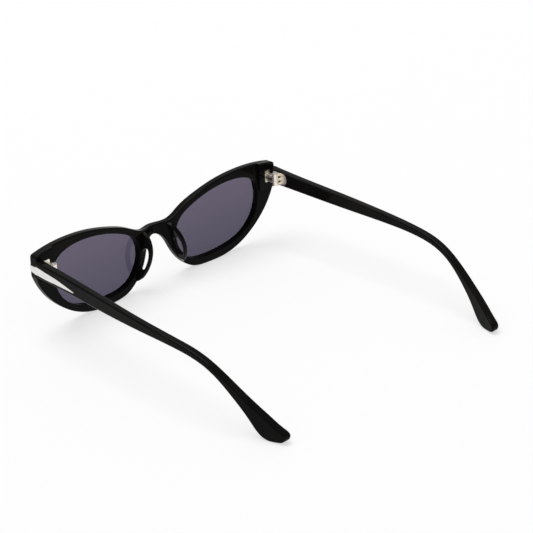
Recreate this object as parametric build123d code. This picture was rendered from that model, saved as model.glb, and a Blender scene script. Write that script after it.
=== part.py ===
from build123d import *
import math
import os

# Cat eye sunglasses, standing open on a table.
# X is the wearer's left, Y runs from the front towards the temple tips, Z is up.
# Millimetres. Every left-hand piece is built first and mirrored in the plane X = 0.

# Front, measured in its own plane: x across, h up the face, depth rearwards.
FRONT_THICK = 3.64
FRONT_LEAN = 2.31           # degrees that the top leans forwards
FRONT_LIFT = -0.419         # puts the lowest point of the rims on the table
FACE_RADIUS = 794.0         # wrap of the front round the face
BRIDGE_BULGE = 2.6          # how far the bridge arches forwards
BRIDGE_HALF = 10.0
FRONT_EDGE = 0.7            # tumbled round on the edges of the front
OPENING_EDGE = 0.35
OPENING_STEPS = 32          # points that a grown or shrunk opening is drawn through
FRONT_REACH = 80.0          # half width of the curved sheets that the front is cut from
DEEP = 12.0                 # depth of the blank that the corner darts are cut from

# Lens, its seat and its groove.
LENS_FRONT = 0.25
LENS_THICK = 1.7
TONGUE_FRONT = 0.75
TONGUE_THICK = 0.6
TONGUE_HIGH = 0.7
LENS_PLAY = 0.04

# Bonded end block behind each upper corner.
BLOCK_INNER = 60.5
BLOCK_FOOT = 25.6
BLOCK_EDGE = 0.5

# Temple.
JOINT_Y = 6.1               # rear face of the end block at the temple
JOINT_GAP = 0.2
TEMPLE_EDGE = 0.7
CORE_R = 0.6

# Five-barrel hinge.
AXIS_X = 65.1
AXIS_Y = 11.5
BARREL_R = 1.4
TEMPLE_BARRELS = [(28.9, 30.1), (31.2, 32.3), (33.4, 34.6)]
FRONT_BARRELS = [(30.16, 31.14), (32.36, 33.34)]
PIN_R = 0.7
PIN_PLAY = 0.04
HEAD_R = 1.1
HEAD_HIGH = 0.5
HEAD_ROUND = 0.2
SLOT_WIDE = 0.3
SLOT_DEEP = 0.25
PLATE_X = (63.4, 66.4)      # leaf on the end block
PLATE_Z = (29.3, 34.9)
PLATE_THICK = 0.7
PLATE_ROUND = 0.5
PEG_X = (64.0, 65.8)        # peg that keys the leaf into the end block
PEG_Z = (30.6, 33.6)
PEG_SINK = 0.7
LEAF_Y = (8.5, 16.8)        # leaf let into the temple
LEAF_Z = (28.9, 34.6)
LEAF_X = (66.85, 67.6)
LEAF_ROUND = 2.4

# Metal darts.
DART_PROUD = 0.15
DART_SUNK = 0.45
TEMPLE_DART = [(6.3, 33.6), (12.5, 32.8), (19.4, 32.1), (25.4, 31.1), (31.5, 30.0), (30.8, 29.6),
               (22.5, 29.55), (12.4, 29.5), (6.3, 29.9)]
SIDE_DART = [(-3, 32.8), (10, 32.95), (10, 28.6), (1.4, 30.5), (-3, 30.5)]
FACE_DART = [(64.3, 32.3), (69.3, 33.2), (69.3, 40), (80, 40), (80, 20), (69.3, 20), (69.3, 30.7)]

# Nose pad.
PAD_THICK = 2.0
PAD_EDGE = 0.5

# Middle of the whole object along Y, which becomes the origin.
CENTRE_Y = 70.976

BROW = [(0, 27.4), (8.2, 28.1), (15.9, 31.8), (25.6, 35.4), (36.7, 38.1), (48.2, 39.4), (60.4, 39.2)]
CORNER = (69.8, 37.7)
CORNER_ROUND = 1.5
SIDE_FOOT = (70.3, 28.4)
RIM = [(68.7, 24.2), (64.8, 17.5), (56.6, 9.0), (47.3, 3.3), (37.9, 0.7), (28.8, 0.4), (19.8, 1.6),
       (12.3, 7.2), (7.6, 14.8), (4.8, 20.2), (0, 23.0)]
OPENING = [(59.5, 29.5), (59.9, 22.6), (57.4, 15.2), (47.9, 7.0), (40.0, 4.9), (28.8, 4.1), (17.9, 6.3),
           (11.5, 15.0), (12.2, 24.7), (21.0, 30.9), (32.9, 34.5), (45.3, 35.6), (54.6, 33.9)]

# Temple in plan: the outer face bows outwards, then turns in behind the ear.
TEMPLE_BOW = (70.55, -1.66, 15.27, -12.36)
BOW_START = 4.0
SLIMMEST = 3.2
SLIMMEST_Y = 70.0
FATTEN = 0.7
PLAN_YS = [0, 25, 50, 75, 100, 120, 135, 150]
CORE_START = 7.3
CORE_LINE = [(5, 31.9), (50, 30.4), (97, 28.4), (114, 23.3), (131, 10.4)]
CORE_BEND = 40.0

# Temple from the side: y, z.
TEMPLE_TOP = [(25, 34.5), (50, 33.2), (75, 31.6), (95, 30.0), (103, 28.8), (111, 26.2), (120, 21.2),
              (130, 14.5), (138, 9.1), (143, 5.7)]
TEMPLE_TIP = [(145.6, 3.3), (145.0, 1.3), (141.5, 0.15), (138.5, 0.1), (135.2, 1.4)]
TEMPLE_FOOT = [(132, 4.7), (128.5, 9.0), (124, 13.6), (118, 18.9), (111, 23.3), (104, 25.6),
               (95, 26.8), (75, 27.3), (50, 27.4), (25, 28.0)]
TIP_SPAN = (0.44, 0.56)     # share of the outline that goes round the tip
TEMPLE_FRONT_TOP = 35.5
TEMPLE_FRONT_FOOT = 28.2

# Nose pad from the side: y, h. The bow stands behind the rim with a slot in it.
PAD_BOW = [(0, 27.6), (3.0, 27.1), (5.8, 26.0), (8.0, 24.0), (9.8, 20.5), (10.2, 17.5), (9.7, 13.8),
           (8.4, 10.4), (6.5, 7.4), (3.8, 4.9), (0, 3.6)]
PAD_SLOT = [(6.0, 20.4), (7.6, 20.3), (8.85, 17.5), (8.35, 13.9), (7.05, 11.2), (5.9, 10.6)]
PAD_LOW = (12.6, 8.0)       # x, z of the pad's middle at its foot
PAD_TOP = (8.0, 24.0)       # x, z of the pad's middle at its head

LEFTWARDS = (1, 0, 0)
REARWARDS = (0, 1, 0)
UPWARDS = (0, 0, 1)

os.makedirs("parts", exist_ok=True)


def face_depth(x):
    """Depth of the front face at x: the wrap, less the forward arch of the bridge."""
    arch = math.cos(math.pi * x / (2 * BRIDGE_HALF)) ** 2 if abs(x) < BRIDGE_HALF else 0
    return x * x / (2 * FACE_RADIUS) - BRIDGE_BULGE * arch


def mirrored(points):
    """Points of a symmetric curve, from its far end to the given points' far end."""
    return [(-x, h) for x, h in reversed(points[1:])] + points


def slab(start, end):
    """The curved sheet between two depths behind the front face."""
    stations = mirrored([(x, 0) for x in (0, 2.5, 5, 7.5, 10, 14, 24, 40, 60, FRONT_REACH)])
    front = [(x, face_depth(x) + start) for x, _ in stations]
    rear = [(x, face_depth(x) + end) for x, _ in stations]
    near = Spline(*front)
    far = Spline(*rear)
    ends = [Line(front[0], rear[0]), Line(front[-1], rear[-1])]
    return Pos(0, 0, -5) * extrude(make_face([near, far] + ends), 60, dir=UPWARDS)


def through(face):
    """A face drawn in x and h, carried through the whole depth of the front."""
    upright = Plane(origin=(0, -20, 0), x_dir=(1, 0, 0), z_dir=(0, -1, 0))
    return extrude(upright * face, 60, dir=REARWARDS)


def outline_face():
    """The outline of the whole front."""
    brow = Spline(*mirrored(BROW + [CORNER]))
    side = Line(CORNER, SIDE_FOOT)
    rim = Spline(*mirrored(list(reversed([SIDE_FOOT] + RIM))))
    other = Line((-CORNER[0], CORNER[1]), (-SIDE_FOOT[0], SIDE_FOOT[1]))
    face = make_face([brow, side, rim, other])
    corners = [v for v in face.vertices() if v.Y > CORNER[1] - 1]
    return fillet(corners, CORNER_ROUND)


def opening_face(grow=0.0):
    """The left lens opening, grown or shrunk evenly."""
    loop = Spline(*OPENING, periodic=True)
    places = [step / OPENING_STEPS for step in range(OPENING_STEPS)]
    moved = [loop @ place + (loop % place).rotate(Axis.Z, 90) * grow for place in places]
    edge = Spline(*moved, periodic=True)
    return make_face([edge.trim(0, 0.5), edge.trim(0.5, 1)])


def lean(part):
    """Tilts a piece of the front to its resting angle and sets it on the table."""
    return Pos(0, 0, FRONT_LIFT) * (Rot(X=FRONT_LEAN) * part)


def front_blank():
    """The solid front without its openings, softly rounded all round."""
    blank = through(outline_face()) & slab(0, FRONT_THICK)
    return fillet([e for e in blank.edges() if e.geom_type != GeomType.LINE], FRONT_EDGE)


def deep_blank():
    """The front carried on backwards past the end blocks, rounded at its face only."""
    blank = through(outline_face()) & slab(0, DEEP)
    rims = [e for e in blank.edges() if e.geom_type != GeomType.LINE and e.center().Y < FRONT_THICK]
    return fillet(rims, FRONT_EDGE)


def box_between(x, y, z):
    """A box given by its two limits along each axis."""
    middle = [(low + high) / 2 for low, high in (x, y, z)]
    size = [high - low for low, high in (x, y, z)]
    return Pos(*middle) * Box(*size)


def end_piece():
    """The left end block together with the layer of the front that it covers."""
    piece = through(outline_face()) & slab(FRONT_THICK / 2, FRONT_REACH)
    piece = lean(piece) & box_between((BLOCK_INNER, 90), (-20, JOINT_Y), (BLOCK_FOOT, 60))
    back = [e for e in piece.edges() if e.center().Y > JOINT_Y - 0.01]
    inner = [e for e in back if abs(e.center().X - BLOCK_INNER) < 0.01]
    outer = [e for e in back if e.center().Z > BLOCK_FOOT + 1 and e not in inner]
    return fillet(outer, BLOCK_EDGE)


def lens():
    """The left lens with the tongue that holds it in its groove."""
    body = through(opening_face(-LENS_PLAY)) & slab(LENS_FRONT, LENS_FRONT + LENS_THICK)
    tongue = through(opening_face(TONGUE_HIGH)) & slab(TONGUE_FRONT, TONGUE_FRONT + TONGUE_THICK)
    return body + tongue


def lens_groove():
    """Space for the tongue, a little larger than the tongue all round."""
    low = TONGUE_FRONT - LENS_PLAY
    high = TONGUE_FRONT + TONGUE_THICK + LENS_PLAY
    return through(opening_face(TONGUE_HIGH + LENS_PLAY)) & slab(low, high)


def nose_pad():
    """The left nose pad, a flat bow that springs off the back of the rim and ends flush with its edge."""
    bow = make_face([Spline(*PAD_BOW), Line(PAD_BOW[-1], PAD_BOW[0])])
    slot = make_face(Spline(*PAD_SLOT, periodic=True))
    plate = Pos(-PAD_THICK / 2, 0, 0) * extrude(Plane.YZ * (bow - slot), PAD_THICK, dir=LEFTWARDS)
    plate = fillet([e for e in plate.edges() if e.geom_type != GeomType.LINE], PAD_EDGE)
    slope = math.degrees(math.atan2(PAD_LOW[0] - PAD_TOP[0], PAD_TOP[1] - PAD_LOW[1]))
    plate = Pos(PAD_TOP[0], 0, PAD_TOP[1]) * (Rot(Y=-slope) * (Pos(0, 0, -PAD_TOP[1]) * plate))
    return (plate - slab(-20, FRONT_THICK)) & through(outline_face())


def outer_x(y):
    """Outer face of the left temple at y."""
    s = (y - BOW_START) / 100
    return sum(factor * s ** power for power, factor in enumerate(TEMPLE_BOW))


def temple_thick(y):
    """Thickness of the temple at y, least at its middle."""
    return SLIMMEST + FATTEN * ((y - SLIMMEST_Y) / SLIMMEST_Y) ** 2


def plan_band(inner_gap, outer_gap):
    """The band between two curves that follow the temple's inner and outer faces from above."""
    outer = [(outer_x(y) + outer_gap, y) for y in PLAN_YS]
    inner = [(outer_x(y) - temple_thick(y) + inner_gap, y) for y in PLAN_YS]
    ends = [Line(outer[0], inner[0]), Line(outer[-1], inner[-1])]
    return Pos(0, 0, -5) * extrude(make_face([Spline(*outer), Spline(*inner)] + ends), 60, dir=UPWARDS)


def temple_blank():
    """The left temple as one rounded bar."""
    start = JOINT_Y + JOINT_GAP
    top = (start, TEMPLE_FRONT_TOP)
    foot = (start, TEMPLE_FRONT_FOOT)
    edge = Spline(top, *TEMPLE_TOP, *TEMPLE_TIP, *TEMPLE_FOOT, foot)
    spans = [edge.trim(0, TIP_SPAN[0]), edge.trim(*TIP_SPAN), edge.trim(TIP_SPAN[1], 1)]
    side = extrude(Plane.YZ * make_face(spans + [Line(foot, top)]), 90, dir=LEFTWARDS)
    bar = side & plan_band(0, 0)
    return fillet([e for e in bar.edges() if e.geom_type != GeomType.LINE], TEMPLE_EDGE)


def core_bore():
    """The stiffening wire's hole along the middle of the left temple, open at its front end."""
    stations = [(outer_x(y) - temple_thick(y) / 2, y, z) for y, z in CORE_LINE]
    path = FilletPolyline(*stations, radius=CORE_BEND)
    return sweep((path ^ 0) * Circle(CORE_R), path=path)


def core():
    """The wire itself, which starts a little way inside its hole."""
    return core_bore() & box_between((0, 90), (CORE_START, 200), (0, 60))


def temple_dart():
    """Metal dart let into the outer face of the left temple."""
    wedge = extrude(Plane.YZ * make_face(Polyline(*TEMPLE_DART, close=True)), 90, dir=LEFTWARDS)
    inner_gap = SLIMMEST - DART_SUNK
    band = plan_band(inner_gap, DART_PROUD) - plan_band(-5, -DART_SUNK)
    return wedge & band & box_between((0, 90), (JOINT_Y + JOINT_GAP, 60), (0, 60))


def corner_dart():
    """Metal dart that wraps round the left corner of the front."""
    corner = deep_blank() & box_between((50, 90), (-20, 20), (20, 50))
    shell = Pos(DART_PROUD, -DART_PROUD, 0) * corner - Pos(-DART_SUNK, DART_SUNK, 0) * corner
    shell = lean(shell) & box_between((0, 90), (-20, JOINT_Y), (0, 60))
    side = extrude(Plane.YZ * make_face(Polyline(*SIDE_DART, close=True)), 90, dir=LEFTWARDS)
    face = lean(through(make_face(Polyline(*FACE_DART, close=True))))
    return shell & side & face


def pin_space(z, radius):
    """Cylinder round the hinge axis between two heights."""
    return Pos(AXIS_X, AXIS_Y, (z[0] + z[1]) / 2) * Cylinder(radius, z[1] - z[0])


def front_hinge():
    """Hinge leaf bonded to the left end block: a plate, two arms and their barrels."""
    face = JOINT_Y + PLATE_THICK
    plate = box_between(PLATE_X, (JOINT_Y, face), PLATE_Z)
    plate = fillet(plate.edges().filter_by(Axis.Y), PLATE_ROUND)
    peg = box_between(PEG_X, (JOINT_Y - PEG_SINK, JOINT_Y), PEG_Z)
    leaf = plate + peg
    for z in FRONT_BARRELS:
        arm = box_between((AXIS_X - BARREL_R, AXIS_X + BARREL_R - 0.2), (face - 0.1, AXIS_Y), z)
        leaf = leaf + (arm + pin_space(z, BARREL_R) - pin_space(z, PIN_R))
    return leaf


def temple_hinge():
    """Hinge leaf let into the left temple: a round-ended plate and three barrels."""
    leaf = box_between(LEAF_X, LEAF_Y, LEAF_Z)
    leaf = fillet([e for e in leaf.edges().filter_by(Axis.X) if e.center().Y > AXIS_Y], LEAF_ROUND)
    for z in TEMPLE_BARRELS:
        neck = box_between((AXIS_X, LEAF_X[0] + 0.1), (AXIS_Y - BARREL_R, AXIS_Y + BARREL_R), z)
        leaf = leaf + (neck + pin_space(z, BARREL_R) - pin_space(z, PIN_R + PIN_PLAY))
    return leaf


def leaf_pocket():
    """The recess milled into the temple for its leaf."""
    pocket = box_between((AXIS_X, LEAF_X[1]), LEAF_Y, LEAF_Z)
    return fillet([e for e in pocket.edges().filter_by(Axis.X) if e.center().Y > AXIS_Y], LEAF_ROUND)


def screw():
    """Hinge screw with a slotted head, its shank running through all five barrels."""
    foot = TEMPLE_BARRELS[0][0]
    top = TEMPLE_BARRELS[-1][1] + PIN_PLAY
    shank = pin_space((foot, top), PIN_R)
    head = pin_space((top, top + HEAD_HIGH), HEAD_R)
    head = fillet(head.edges().group_by(Axis.Z)[-1], HEAD_ROUND)
    slot = Pos(AXIS_X, AXIS_Y, top + HEAD_HIGH) * Box(3 * HEAD_R, SLOT_WIDE, 2 * SLOT_DEEP)
    return shank + head - slot


def both_sides(name, shape):
    """The left piece and its mirror image, under their own names."""
    return {name + "_left": shape, name + "_right": mirror(shape, about=Plane.YZ)}


def front_frame(corner, dart):
    """The whole front: lens openings and grooves, full corners, seats for the darts."""
    frame = front_blank()
    for flip in (False, True):
        opening = through(opening_face())
        groove = lens_groove()
        if flip:
            opening = mirror(opening, about=Plane.YZ)
            groove = mirror(groove, about=Plane.YZ)
        opened = frame - opening
        rims = [e for e in new_edges(frame, opening, combined=opened) if e.length > 20]
        frame = fillet(rims, OPENING_EDGE) - groove
    frame = lean(frame)
    layer = corner & lean(slab(0, FRONT_THICK))
    frame = frame + layer + mirror(layer, about=Plane.YZ)
    return frame - dart - mirror(dart, about=Plane.YZ)


corner = end_piece()
end_dart = corner_dart()
hinge = front_hinge()
block = corner - lean(slab(-FRONT_THICK, FRONT_THICK)) - end_dart - hinge
flush_dart = temple_dart()
temple = temple_blank() - flush_dart - leaf_pocket() - core_bore()

pieces = {"front_frame": front_frame(corner, end_dart)}
pieces.update(both_sides("end_block", block))
pieces.update(both_sides("nose_pad", lean(nose_pad())))
pieces.update(both_sides("lens", lean(lens())))
pieces.update(both_sides("front_hinge", hinge))
pieces.update(both_sides("hinge_screw", screw()))
pieces.update(both_sides("corner_dart", end_dart))
pieces.update(both_sides("temple", temple))
pieces.update(both_sides("temple_core", core()))
pieces.update(both_sides("temple_hinge", temple_hinge()))
pieces.update(both_sides("temple_dart", flush_dart))

for name, piece in pieces.items():
    export_step(Pos(0, -CENTRE_Y, 0) * piece, f"parts/{name}.step")
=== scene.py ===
import math

import bpy
from mathutils import Matrix, Vector

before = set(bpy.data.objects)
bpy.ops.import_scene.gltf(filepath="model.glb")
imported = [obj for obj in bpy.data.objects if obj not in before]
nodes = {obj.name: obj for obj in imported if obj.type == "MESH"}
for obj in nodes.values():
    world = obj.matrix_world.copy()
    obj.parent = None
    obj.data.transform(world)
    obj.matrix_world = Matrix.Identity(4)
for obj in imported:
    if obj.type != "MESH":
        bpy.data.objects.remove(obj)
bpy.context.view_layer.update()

# Camera, as angles and metres in the frame's own axes.
AZIMUTH = 136.32
ELEVATION = 25.46
ROLL = -1.81
DISTANCE = 0.8645
TARGET = Vector((-0.0181, -0.0179, 0.0173))
LENS_MM = 134.6
SENSOR_MM = 36.0

# Light and floor.
FLOOR_SIZE = 30.0
FLOOR_GREY = 0.30
FLOOR_GLOW = 0.628
ROOM_LIGHT = 0.38
SWEEP_LIGHT = 0.66
SOFTBOX_LIGHT = 2.35
SOFTBOX_ANGLE = 45
SOFTBOX_TILT = (14, 8)

# What one face of a lens lets through, as red, green and blue.
LENS_LOW_TINT = (0.268, 0.250, 0.320)
LENS_HIGH_TINT = (0.338, 0.306, 0.380)
LENS_FOOT_Z = 0.004
LENS_TOP_Z = 0.036
LENS_GLARE = 0.045          # share of light that a lens face reflects when it is looked at squarely

# Acetate: its darkest and lightest clouds.
ACETATE_DARK = (0.0032, 0.0030, 0.0030)
ACETATE_PALE = (0.0072, 0.0062, 0.0057)

# Metals: pale and dark scratches, the axis that they follow, the roughness, and the pieces.
METALS = {
    "hinge_metal": ((0.98, 0.93, 0.83), (0.86, 0.79, 0.68), "Z", 0.38, ("front_hinge", "temple_hinge")),
    "dart_metal": ((0.86, 0.85, 0.84), (0.66, 0.65, 0.64), "Y", 0.26, ("corner_dart", "temple_dart")),
    "screw_metal": ((0.72, 0.70, 0.67), (0.50, 0.48, 0.45), "X", 0.22, ("hinge_screw",)),
    "core_wire": ((0.70, 0.68, 0.64), (0.48, 0.46, 0.43), "Y", 0.30, ("temple_core",)),
}
SCRATCH_SCALE = 5200
SCRATCH_DEPTH = 0.12
SCRATCH_STRETCH = 0.03


def links(tree, *pairs):
    """Joins output sockets to input sockets."""
    for source, target in pairs:
        tree.links.new(source, target)


def new_material(name):
    """An empty node material and its shader."""
    material = bpy.data.materials.new(name)
    material.use_nodes = True
    tree = material.node_tree
    tree.nodes.clear()
    output = tree.nodes.new("ShaderNodeOutputMaterial")
    shader = tree.nodes.new("ShaderNodeBsdfPrincipled")
    links(tree, (shader.outputs["BSDF"], output.inputs["Surface"]))
    return material, tree, shader


def place(tree, stretch=(1, 1, 1)):
    """Object coordinates in metres, stretched along each axis."""
    coords = tree.nodes.new("ShaderNodeTexCoord")
    mapping = tree.nodes.new("ShaderNodeMapping")
    mapping.inputs["Scale"].default_value = stretch
    links(tree, (coords.outputs["Object"], mapping.inputs["Vector"]))
    return mapping.outputs["Vector"]


def noise(tree, vector, scale, detail=3.0, rough=0.5, distortion=0.0):
    """A noise texture's value."""
    node = tree.nodes.new("ShaderNodeTexNoise")
    node.inputs["Scale"].default_value = scale
    node.inputs["Detail"].default_value = detail
    node.inputs["Roughness"].default_value = rough
    node.inputs["Distortion"].default_value = distortion
    links(tree, (vector, node.inputs["Vector"]))
    return node.outputs["Fac"]


def spread(tree, value, low, high, start=0.3, end=0.7):
    """Maps a noise value to a range."""
    node = tree.nodes.new("ShaderNodeMapRange")
    node.inputs["From Min"].default_value = start
    node.inputs["From Max"].default_value = end
    node.inputs["To Min"].default_value = low
    node.inputs["To Max"].default_value = high
    links(tree, (value, node.inputs["Value"]))
    return node.outputs["Result"]


def ramp(tree, value, stops):
    """A colour ramp with (place, colour) stops."""
    node = tree.nodes.new("ShaderNodeValToRGB")
    elements = node.color_ramp.elements
    while len(elements) < len(stops):
        elements.new(0.5)
    for element, (spot, colour) in zip(elements, stops):
        element.position = spot
        element.color = (*colour, 1)
    links(tree, (value, node.inputs["Fac"]))
    return node.outputs["Color"]


def bump(tree, height, strength, distance, normal=None):
    """A bump that can be stacked on another."""
    node = tree.nodes.new("ShaderNodeBump")
    node.inputs["Strength"].default_value = strength
    node.inputs["Distance"].default_value = distance
    links(tree, (height, node.inputs["Height"]))
    if normal is not None:
        links(tree, (normal, node.inputs["Normal"]))
    return node.outputs["Normal"]


def acetate():
    """Polished black acetate: cloudy depth, a slow polishing wave, hairline marks and a faint haze."""
    material, tree, shader = new_material("black_acetate")
    here = place(tree)
    cloud = noise(tree, here, 60, 4, 0.55, 0.6)
    colour = ramp(tree, cloud, [(0.35, ACETATE_DARK), (0.7, ACETATE_PALE)])
    haze = spread(tree, noise(tree, here, 240, 5, 0.6), 0.05, 0.12)
    hairs = noise(tree, place(tree, (1, 0.08, 1)), 4200, 2, 0.4)
    wave = bump(tree, noise(tree, here, 110, 1, 0.3), 0.25, 0.00005)
    marks = bump(tree, spread(tree, hairs, 0, 1, 0.62, 0.75), 0.03, 0.00001, wave)
    links(tree, (colour, shader.inputs["Base Color"]), (haze, shader.inputs["Roughness"]),
          (marks, shader.inputs["Normal"]))
    shader.inputs["IOR"].default_value = 1.49
    shader.inputs["Specular IOR Level"].default_value = 0.045
    return material


def tinted_lens():
    """Smoke lens with a lilac cast, a little denser at the foot, glossy, with a trace of wiping marks."""
    material, tree, gloss = new_material("smoke_lens")
    here = place(tree)
    split = tree.nodes.new("ShaderNodeSeparateXYZ")
    links(tree, (here, split.inputs["Vector"]))
    height = spread(tree, split.outputs["Z"], 0, 1, LENS_FOOT_Z, LENS_TOP_Z)
    tint = ramp(tree, height, [(0, LENS_LOW_TINT), (1, LENS_HIGH_TINT)])
    smear = spread(tree, noise(tree, place(tree, (1, 1, 0.4)), 90, 4, 0.6, 0.4), 0.015, 0.05)
    ripple = bump(tree, noise(tree, here, 45, 1, 0.3), 0.08, 0.00003)
    gloss.inputs["Base Color"].default_value = (0.7, 0.7, 0.7, 1)
    gloss.inputs["Metallic"].default_value = 1.0
    clear = tree.nodes.new("ShaderNodeBsdfTransparent")
    facing = tree.nodes.new("ShaderNodeLayerWeight")
    steep = tree.nodes.new("ShaderNodeMath")
    steep.operation = "POWER"
    steep.inputs[1].default_value = 5
    mix = tree.nodes.new("ShaderNodeMixShader")
    links(tree, (smear, gloss.inputs["Roughness"]), (ripple, gloss.inputs["Normal"]),
          (tint, clear.inputs["Color"]), (facing.outputs["Facing"], steep.inputs[0]),
          (spread(tree, steep.outputs["Value"], LENS_GLARE, 1, 0, 1), mix.inputs["Fac"]),
          (clear.outputs["BSDF"], mix.inputs[1]), (gloss.outputs["BSDF"], mix.inputs[2]),
          (mix.outputs["Shader"], tree.nodes["Material Output"].inputs["Surface"]))
    return material


def brushed(name, pale, dark, along, rough):
    """Brushed metal whose scratches run along one axis."""
    material, tree, shader = new_material(name)
    stretch = tuple(SCRATCH_STRETCH if axis == along else 1 for axis in "XYZ")
    lines = noise(tree, place(tree, stretch), SCRATCH_SCALE, 3, 0.6)
    patches = noise(tree, place(tree), 500, 3, 0.5)
    colour = ramp(tree, lines, [(0.3, dark), (0.7, pale)])
    gloss = spread(tree, patches, rough - 0.05, rough + 0.07)
    scratches = bump(tree, lines, SCRATCH_DEPTH, 0.00002)
    soft = bump(tree, patches, 0.1, 0.00002, scratches)
    links(tree, (colour, shader.inputs["Base Color"]), (gloss, shader.inputs["Roughness"]),
          (soft, shader.inputs["Normal"]))
    shader.inputs["Metallic"].default_value = 1.0
    return material


def dress(material, *names):
    """Gives CAD nodes a material."""
    for name in names:
        mesh = nodes[name].data
        mesh.materials.clear()
        mesh.materials.append(material)


def pair(name):
    """The left and right node of that name."""
    return name + "_left", name + "_right"


def make_floor():
    """A plain pale floor under the sunglasses."""
    half = FLOOR_SIZE / 2
    mesh = bpy.data.meshes.new("floor")
    corners = [(-half, -half, 0), (half, -half, 0), (half, half, 0), (-half, half, 0)]
    mesh.from_pydata(corners, [], [(0, 1, 2, 3)])
    floor = bpy.data.objects.new("floor", mesh)
    bpy.context.collection.objects.link(floor)
    material, tree, shader = new_material("paper_sweep")
    tone = ramp(tree, noise(tree, place(tree), 12, 3, 0.5),
                [(0.3, (FLOOR_GREY * 0.995,) * 3), (0.7, (FLOOR_GREY,) * 3)])
    links(tree, (tone, shader.inputs["Base Color"]))
    shader.inputs["Roughness"].default_value = 0.7
    shader.inputs["Specular IOR Level"].default_value = 0.25
    shader.inputs["Emission Color"].default_value = (1.0, 1.0, 1.0, 1)
    shader.inputs["Emission Strength"].default_value = FLOOR_GLOW
    mesh.materials.append(material)


def make_world():
    """A dim room with a pale sweep rising behind the sunglasses."""
    world = bpy.data.worlds.new("studio")
    bpy.context.scene.world = world
    world.use_nodes = True
    tree = world.node_tree
    tree.nodes.clear()
    coords = tree.nodes.new("ShaderNodeTexCoord")
    facing = tree.nodes.new("ShaderNodeVectorMath")
    facing.operation = "DOT_PRODUCT"
    turn = math.radians(AZIMUTH)
    facing.inputs[1].default_value = (-math.sin(turn), math.cos(turn), 0)
    level = tree.nodes.new("ShaderNodeMapRange")
    level.interpolation_type = "SMOOTHSTEP"
    level.inputs["From Min"].default_value = 0.1
    level.inputs["From Max"].default_value = 0.85
    level.inputs["To Min"].default_value = ROOM_LIGHT
    level.inputs["To Max"].default_value = SWEEP_LIGHT
    back = tree.nodes.new("ShaderNodeBackground")
    output = tree.nodes.new("ShaderNodeOutputWorld")
    back.inputs["Color"].default_value = (1.0, 1.0, 1.0, 1)
    links(tree, (coords.outputs["Generated"], facing.inputs[0]),
          (facing.outputs["Value"], level.inputs["Value"]),
          (level.outputs["Result"], back.inputs["Strength"]),
          (back.outputs["Background"], output.inputs["Surface"]))


def make_softbox():
    """One very soft light from above."""
    light = bpy.data.lights.new("softbox", "SUN")
    light.energy = SOFTBOX_LIGHT
    light.angle = math.radians(SOFTBOX_ANGLE)
    holder = bpy.data.objects.new("softbox", light)
    holder.rotation_euler = [math.radians(angle) for angle in (*SOFTBOX_TILT, 0)]
    bpy.context.collection.objects.link(holder)


def make_camera():
    """The camera, aimed by its angles round the sunglasses."""
    turn, rise = math.radians(AZIMUTH), math.radians(ELEVATION)
    back = Vector((math.sin(turn) * math.cos(rise), -math.cos(turn) * math.cos(rise), math.sin(rise)))
    right = Vector((math.cos(turn), math.sin(turn), 0))
    up = back.cross(right)
    tilt = math.radians(ROLL)
    across = right * math.cos(tilt) + up * math.sin(tilt)
    above = up * math.cos(tilt) - right * math.sin(tilt)
    camera = bpy.data.objects.new("camera", bpy.data.cameras.new("camera"))
    aim = Matrix((across, above, back)).transposed().to_4x4()
    camera.matrix_world = Matrix.Translation(TARGET + back * DISTANCE) @ aim
    camera.data.lens = LENS_MM
    camera.data.sensor_width = SENSOR_MM
    camera.data.clip_start = 0.02
    camera.data.clip_end = 60
    bpy.context.collection.objects.link(camera)
    bpy.context.scene.camera = camera


dress(acetate(), "front_frame", *pair("end_block"), *pair("nose_pad"), *pair("temple"))
dress(tinted_lens(), *pair("lens"))
for slot, (pale, dark, along, rough, names) in METALS.items():
    metal = brushed(slot, pale, dark, along, rough)
    for name in names:
        dress(metal, *pair(name))

make_floor()
make_world()
make_softbox()
make_camera()
bpy.context.scene.view_settings.view_transform = "Standard"
